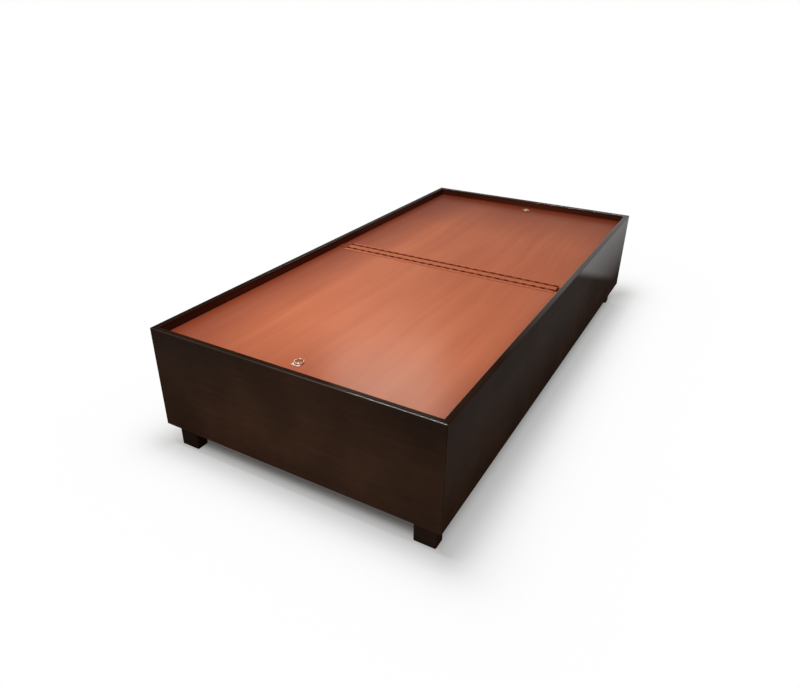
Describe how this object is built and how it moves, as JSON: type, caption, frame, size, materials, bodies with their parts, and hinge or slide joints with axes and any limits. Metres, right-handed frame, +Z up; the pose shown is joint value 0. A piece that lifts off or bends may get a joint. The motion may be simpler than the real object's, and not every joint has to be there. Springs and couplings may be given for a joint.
{
  "type": "ottoman bed",
  "caption": "Low storage bed base: a lacquered board box on short block legs, whose recessed top is made of lift-up lids hinged to a strip across the middle, each with a small ring pull.",
  "frame": {"origin": "middle of the bed's footprint, on the floor", "axes": "+X to the right side seen from the foot end, +Y along the bed to the head end, +Z up"},
  "size_m": [0.915, 1.83, 0.4],
  "materials": {
    "dark_lacquer": "gloss dark brown lacquer on board",
    "lid_lacquer": "satin orange-brown lacquer on board",
    "hinge_lacquer": "rolled steel, lacquered over with the lids",
    "softwood": "planed, bare",
    "plywood": "sanded, bare",
    "steel": "zinc-plated",
    "plating": "bright nickel plate"
  },
  "bodies": {
    "base": {"end_panel_foot": "dark_lacquer", "end_panel_head": "dark_lacquer", "side_panel_left": "dark_lacquer", "side_panel_right": "dark_lacquer", "bottom_board": "plywood", "centre_bearer": "softwood", "centre_partition": "plywood", "centre_strip": "lid_lacquer", "ledger_foot_left": "softwood", "ledger_foot_right": "softwood", "ledger_foot_end": "softwood", "ledger_foot_middle": "softwood", "ledger_head_left": "softwood", "ledger_head_right": "softwood", "ledger_head_end": "softwood", "ledger_head_middle": "softwood", "corner_post_foot_left": "softwood", "corner_post_foot_right": "softwood", "corner_post_head_left": "softwood", "corner_post_head_right": "softwood", "leg_foot_left": "dark_lacquer", "leg_foot_right": "dark_lacquer", "leg_head_left": "dark_lacquer", "leg_head_right": "dark_lacquer", "leg_screw_foot_left_1": "steel", "leg_screw_foot_right_1": "steel", "leg_screw_head_left_1": "steel", "leg_screw_head_right_1": "steel", "hinge_fixed_leaf_foot": "hinge_lacquer", "hinge_fixed_leaf_head": "hinge_lacquer", "hinge_pin_foot": "steel", "hinge_pin_head": "steel", "hinge_fixed_screw_foot_1": "hinge_lacquer", "hinge_fixed_screw_foot_2": "hinge_lacquer", "hinge_fixed_screw_foot_3": "hinge_lacquer", "hinge_fixed_screw_foot_4": "hinge_lacquer", "hinge_fixed_screw_head_1": "hinge_lacquer", "hinge_fixed_screw_head_2": "hinge_lacquer", "hinge_fixed_screw_head_3": "hinge_lacquer", "hinge_fixed_screw_head_4": "hinge_lacquer"},
    "foot_lid": {"foot_lid": "lid_lacquer", "hinge_lid_leaf_foot": "hinge_lacquer", "hinge_lid_screw_foot_1": "hinge_lacquer", "hinge_lid_screw_foot_2": "hinge_lacquer", "hinge_lid_screw_foot_3": "hinge_lacquer", "hinge_lid_screw_foot_4": "hinge_lacquer", "pull_plate_foot": "plating", "pull_screw_foot_1": "plating", "pull_screw_foot_2": "plating"},
    "head_lid": {"head_lid": "lid_lacquer", "hinge_lid_leaf_head": "hinge_lacquer", "hinge_lid_screw_head_1": "hinge_lacquer", "hinge_lid_screw_head_2": "hinge_lacquer", "hinge_lid_screw_head_3": "hinge_lacquer", "hinge_lid_screw_head_4": "hinge_lacquer", "pull_plate_head": "plating", "pull_screw_head_1": "plating", "pull_screw_head_2": "plating"},
    "foot_ring": {"pull_ring_foot": "plating"},
    "head_ring": {"pull_ring_head": "plating"}
  },
  "joints": [
    {"name": "foot_lid_lift", "type": "hinge", "parent": "base", "child": "foot_lid", "pos_m": [0, -0.019, 0.3777], "axis": [-1, 0, 0], "range_deg": [0, 90]},
    {"name": "head_lid_lift", "type": "hinge", "parent": "base", "child": "head_lid", "pos_m": [0, 0.019, 0.3777], "axis": [1, 0, 0], "range_deg": [0, 90]},
    {"name": "foot_ring_turn", "type": "hinge", "parent": "foot_lid", "child": "foot_ring", "pos_m": [-0.011, -0.838, 0.3786], "axis": [1, 0, 0], "range_deg": [0, 180]},
    {"name": "head_ring_turn", "type": "hinge", "parent": "head_lid", "child": "head_ring", "pos_m": [0.017, 0.838, 0.3786], "axis": [-1, 0, 0], "range_deg": [0, 180]}
  ]
}
